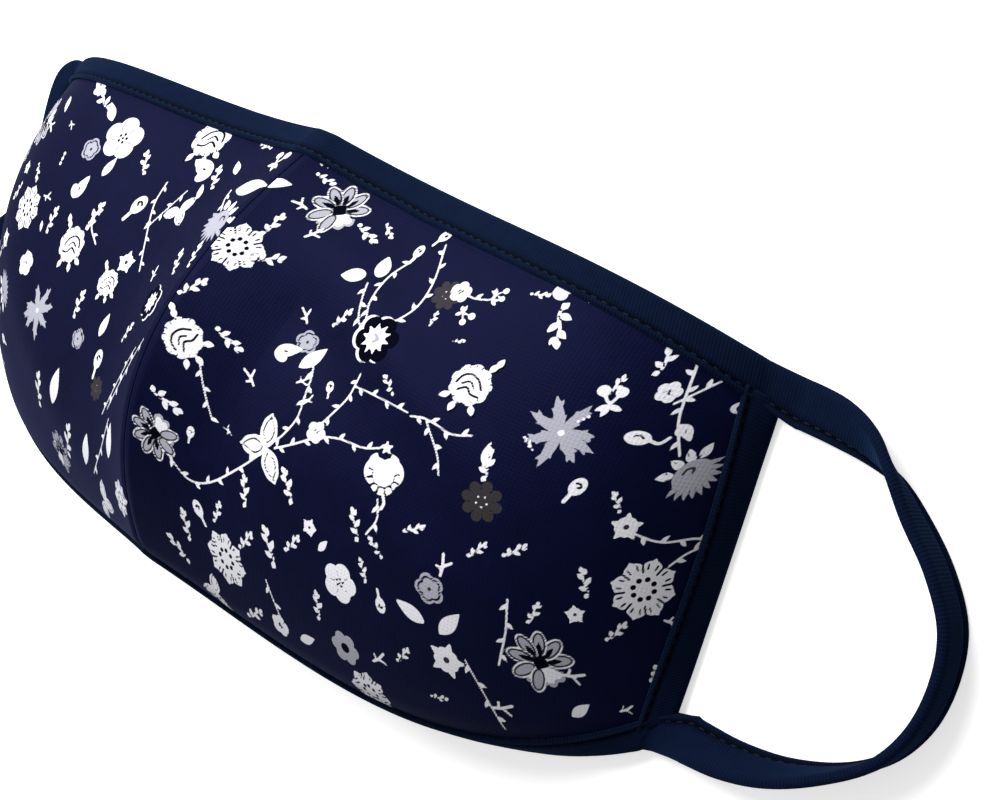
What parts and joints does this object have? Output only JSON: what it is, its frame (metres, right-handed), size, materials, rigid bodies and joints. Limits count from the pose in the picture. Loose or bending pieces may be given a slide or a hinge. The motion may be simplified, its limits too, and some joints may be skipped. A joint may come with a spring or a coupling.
{
  "type": "cloth face mask",
  "caption": "Contoured reusable cloth face mask: two curved halves sewn at the centre, knit tape round the edges running on as soft ear loops.",
  "frame": {"origin": "on the table plane, under the centre seam, near the middle of the open side that goes to the face", "axes": "+X towards the wearer's left ear, +Y towards the nose edge, +Z out of the face side up; the mask lies dome up with both ear loops laid on the table"},
  "size_m": [0.3327, 0.1101, 0.0517],
  "materials": {
    "print_cloth": "dark blue cotton with a small white flower print",
    "binding_knit": "dark blue fine rib knit tape"
  },
  "bodies": {
    "root": {"panel_left": "print_cloth", "panel_right": "print_cloth", "top_binding": "binding_knit", "bottom_binding": "binding_knit", "side_binding_left": "binding_knit", "side_binding_right": "binding_knit", "ear_loop_left": "binding_knit", "ear_loop_right": "binding_knit"}
  },
  "joints": []
}
